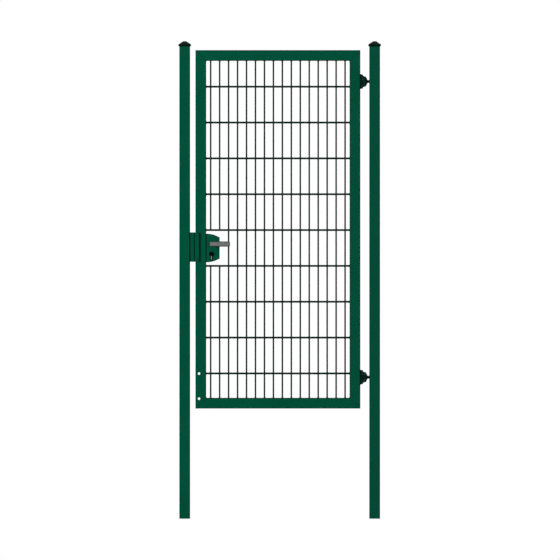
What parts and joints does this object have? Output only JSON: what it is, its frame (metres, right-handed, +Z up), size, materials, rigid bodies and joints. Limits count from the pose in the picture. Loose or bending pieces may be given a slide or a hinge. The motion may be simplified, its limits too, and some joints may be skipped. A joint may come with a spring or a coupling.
{
  "type": "tubular frame gate",
  "caption": "Tubular frame gate leaf filled with welded rod mesh, hung between square posts with pyramid caps on eye hinges, with a lever lock case and a keeper with a stop.",
  "frame": {"origin": "centre of the hinge post's foot face, the end that is set in the ground", "axes": "+Z up along the posts, +X from the lock post towards the hinge post, +Y from the front (stop side) to the back (the way the leaf opens)"},
  "size_m": [1.132, 0.1358, 2.6649],
  "materials": {
    "green_coat": "moss green powder coat, satin",
    "hinge_coat": "dark green coat on forged steel",
    "mesh_coat": "dark green coat on drawn wire",
    "cap_moulding": "dark moulded cap, matt",
    "zinc": "bright zinc plate",
    "nickel": "matt nickel plate",
    "plug_black": "blackened metal",
    "collar_black": "matt moulding",
    "grip_grey": "satin grey lever"
  },
  "bodies": {
    "posts": {"hinge_post": "green_coat", "lock_post": "green_coat", "hinge_post_cap": "cap_moulding", "lock_post_cap": "cap_moulding", "keeper": "green_coat", "upper_eye_bolt": "hinge_coat", "lower_eye_bolt": "hinge_coat", "upper_post_bush": "hinge_coat", "lower_post_bush": "hinge_coat"},
    "leaf": {"top_rail": "green_coat", "bottom_rail": "green_coat", "lock_stile": "green_coat", "hinge_stile": "green_coat", "mesh_panel": "mesh_coat", "upper_hinge_yoke": "hinge_coat", "lower_hinge_yoke": "hinge_coat", "upper_hinge_pin": "hinge_coat", "lower_hinge_pin": "hinge_coat", "lock_case": "green_coat", "front_lock_cover": "green_coat", "back_lock_cover": "green_coat", "lock_forend": "nickel", "latch_bolt": "nickel", "dead_bolt": "nickel", "lock_cylinder": "nickel", "front_plug": "plug_black", "back_plug": "plug_black", "front_collar": "collar_black", "back_collar": "collar_black", "front_rose": "collar_black", "back_rose": "collar_black"},
    "levers": {"front_lever": "grip_grey", "back_lever": "grip_grey", "lever_spindle": "zinc"}
  },
  "joints": [
    {"name": "gate_swing", "type": "hinge", "parent": "posts", "child": "leaf", "pos_m": [-0.055, 0, 0.79], "axis": [0, 0, -1], "range_deg": [0, 90]},
    {"name": "lever_turn", "type": "hinge", "parent": "leaf", "child": "levers", "pos_m": [-0.911, 0, 1.533], "axis": [0, 1, 0], "range_deg": [0, 40], "stiffness_Nm_per_rad": 1, "springref_deg": -20.05}
  ]
}
